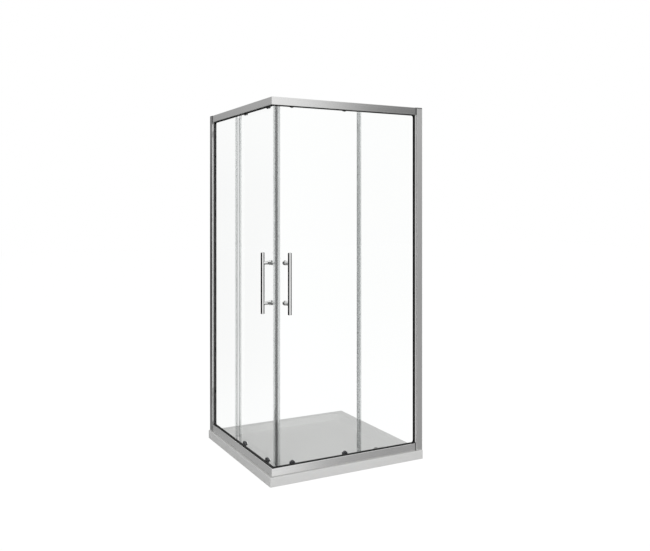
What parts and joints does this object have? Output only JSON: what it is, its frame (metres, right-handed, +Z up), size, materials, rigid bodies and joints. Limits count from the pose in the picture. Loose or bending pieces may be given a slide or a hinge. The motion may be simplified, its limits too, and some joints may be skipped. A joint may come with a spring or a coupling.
{
  "type": "shower enclosure",
  "caption": "Corner-entry shower enclosure on a low square tray, with fixed glass panels, sliding glass doors on sprung rollers, magnetic seals and bar handles in a bright metal frame.",
  "frame": {"origin": "middle of the shower tray's underside, on the floor", "axes": "+X towards the right-hand wall, +Y towards the back wall, +Z up; the doors meet at the entry corner at -X -Y"},
  "size_m": [0.9056, 0.9056, 1.895],
  "materials": {
    "tray_acrylic": "glossy moulded",
    "frame_profile": "bright polished extrusion",
    "chrome": "mirror plated",
    "joiner_aluminium": "mill",
    "cap_plastic": "smooth moulded",
    "screw_steel": "plain",
    "clear_glass": "clear toughened",
    "gasket_rubber": "matte extruded",
    "seal_pvc": "translucent extruded",
    "magnet_rubber": "matte",
    "roller_housing": "fine moulded",
    "wheel_nylon": "smooth",
    "spring_steel": "drawn wire"
  },
  "bodies": {
    "frame": {"shower_tray": "tray_acrylic", "waste_flange": "chrome", "top_rail_front": "frame_profile", "top_rail_left": "frame_profile", "bottom_rail_front": "frame_profile", "bottom_rail_left": "frame_profile", "upright_front": "frame_profile", "upright_left": "frame_profile", "wall_channel_front": "frame_profile", "wall_channel_left": "frame_profile", "corner_joiners": "joiner_aluminium", "rail_end_plates": "cap_plastic", "channel_caps": "cap_plastic", "frame_screws": "screw_steel", "adjusting_screws": "screw_steel", "screw_caps": "cap_plastic", "fixed_glass_front": "clear_glass", "fixed_glass_left": "clear_glass", "glazing_gasket_front": "gasket_rubber", "glazing_gasket_left": "gasket_rubber", "fixed_edge_seal_front": "seal_pvc", "fixed_edge_seal_left": "seal_pvc", "door_stops": "gasket_rubber"},
    "door_front": {"door_glass_front": "clear_glass", "magnet_seal_front": "seal_pvc", "magnet_strip_front": "magnet_rubber", "door_edge_seal_front": "seal_pvc", "handle_bar_front": "chrome", "handle_posts_front": "chrome", "handle_knobs_front": "chrome", "top_hangers_front": "roller_housing", "bottom_roller_bodies_front": "roller_housing", "roller_bolts_front": "chrome", "release_spring_front_lead": "spring_steel", "release_spring_front_trail": "spring_steel"},
    "door_left": {"door_glass_left": "clear_glass", "magnet_seal_left": "seal_pvc", "magnet_strip_left": "magnet_rubber", "door_edge_seal_left": "seal_pvc", "handle_bar_left": "chrome", "handle_posts_left": "chrome", "handle_knobs_left": "chrome", "top_hangers_left": "roller_housing", "bottom_roller_bodies_left": "roller_housing", "roller_bolts_left": "chrome", "release_spring_left_lead": "spring_steel", "release_spring_left_trail": "spring_steel"},
    "waste_cover": {"waste_cover": "chrome"},
    "release_slider_front_lead": {"release_slider_front_lead": "roller_housing"},
    "top_wheel_front_lead": {"top_wheel_front_lead": "wheel_nylon"},
    "bottom_wheel_front_lead": {"bottom_wheel_front_lead": "wheel_nylon"},
    "release_slider_front_trail": {"release_slider_front_trail": "roller_housing"},
    "top_wheel_front_trail": {"top_wheel_front_trail": "wheel_nylon"},
    "bottom_wheel_front_trail": {"bottom_wheel_front_trail": "wheel_nylon"},
    "release_slider_left_lead": {"release_slider_left_lead": "roller_housing"},
    "top_wheel_left_lead": {"top_wheel_left_lead": "wheel_nylon"},
    "bottom_wheel_left_lead": {"bottom_wheel_left_lead": "wheel_nylon"},
    "release_slider_left_trail": {"release_slider_left_trail": "roller_housing"},
    "top_wheel_left_trail": {"top_wheel_left_trail": "wheel_nylon"},
    "bottom_wheel_left_trail": {"bottom_wheel_left_trail": "wheel_nylon"}
  },
  "joints": [
    {"name": "door_front_slide", "type": "slide", "parent": "frame", "child": "door_front", "axis": [1, 0, 0], "range_m": [0, 0.35]},
    {"name": "door_left_slide", "type": "slide", "parent": "frame", "child": "door_left", "axis": [0, 1, 0], "range_m": [0, 0.35]},
    {"name": "waste_cover_lift", "type": "slide", "parent": "frame", "child": "waste_cover", "axis": [0, 0, 1], "range_m": [0, 0.03]},
    {"name": "release_front_lead_press", "type": "slide", "parent": "door_front", "child": "release_slider_front_lead", "axis": [0, 0, -1], "range_m": [0, 0.0033], "stiffness_N_per_m": 300, "springref_m": -0.004, "deforming": ["release_spring_front_lead"]},
    {"name": "release_front_trail_press", "type": "slide", "parent": "door_front", "child": "release_slider_front_trail", "axis": [0, 0, -1], "range_m": [0, 0.0033], "stiffness_N_per_m": 300, "springref_m": -0.004, "deforming": ["release_spring_front_trail"]},
    {"name": "release_left_lead_press", "type": "slide", "parent": "door_left", "child": "release_slider_left_lead", "axis": [0, 0, -1], "range_m": [0, 0.0033], "stiffness_N_per_m": 300, "springref_m": -0.004, "deforming": ["release_spring_left_lead"]},
    {"name": "release_left_trail_press", "type": "slide", "parent": "door_left", "child": "release_slider_left_trail", "axis": [0, 0, -1], "range_m": [0, 0.0033], "stiffness_N_per_m": 300, "springref_m": -0.004, "deforming": ["release_spring_left_trail"]},
    {"name": "top_wheel_front_lead_spin", "type": "hinge", "parent": "door_front", "child": "top_wheel_front_lead", "pos_m": [-0.313, -0.411, 1.87955], "axis": [0, 1, 0], "continuous": true},
    {"name": "bottom_wheel_front_lead_spin", "type": "hinge", "parent": "release_slider_front_lead", "child": "bottom_wheel_front_lead", "pos_m": [-0.313, -0.411, 0.06045], "axis": [0, 1, 0], "continuous": true},
    {"name": "top_wheel_front_trail_spin", "type": "hinge", "parent": "door_front", "child": "top_wheel_front_trail", "pos_m": [-0.013, -0.411, 1.87955], "axis": [0, 1, 0], "continuous": true},
    {"name": "bottom_wheel_front_trail_spin", "type": "hinge", "parent": "release_slider_front_trail", "child": "bottom_wheel_front_trail", "pos_m": [-0.013, -0.411, 0.06045], "axis": [0, 1, 0], "continuous": true},
    {"name": "top_wheel_left_lead_spin", "type": "hinge", "parent": "door_left", "child": "top_wheel_left_lead", "pos_m": [-0.411, -0.313, 1.87955], "axis": [1, 0, 0], "continuous": true},
    {"name": "bottom_wheel_left_lead_spin", "type": "hinge", "parent": "release_slider_left_lead", "child": "bottom_wheel_left_lead", "pos_m": [-0.411, -0.313, 0.06045], "axis": [1, 0, 0], "continuous": true},
    {"name": "top_wheel_left_trail_spin", "type": "hinge", "parent": "door_left", "child": "top_wheel_left_trail", "pos_m": [-0.411, -0.013, 1.87955], "axis": [1, 0, 0], "continuous": true},
    {"name": "bottom_wheel_left_trail_spin", "type": "hinge", "parent": "release_slider_left_trail", "child": "bottom_wheel_left_trail", "pos_m": [-0.411, -0.013, 0.06045], "axis": [1, 0, 0], "continuous": true}
  ],
  "couplings": [
    {"joint": "top_wheel_front_lead_spin", "follows": "door_front_slide", "rad_per_m": 125},
    {"joint": "bottom_wheel_front_lead_spin", "follows": "door_front_slide", "rad_per_m": -125},
    {"joint": "top_wheel_front_trail_spin", "follows": "door_front_slide", "rad_per_m": 125},
    {"joint": "bottom_wheel_front_trail_spin", "follows": "door_front_slide", "rad_per_m": -125},
    {"joint": "top_wheel_left_lead_spin", "follows": "door_left_slide", "rad_per_m": -125},
    {"joint": "bottom_wheel_left_lead_spin", "follows": "door_left_slide", "rad_per_m": 125},
    {"joint": "top_wheel_left_trail_spin", "follows": "door_left_slide", "rad_per_m": -125},
    {"joint": "bottom_wheel_left_trail_spin", "follows": "door_left_slide", "rad_per_m": 125}
  ]
}
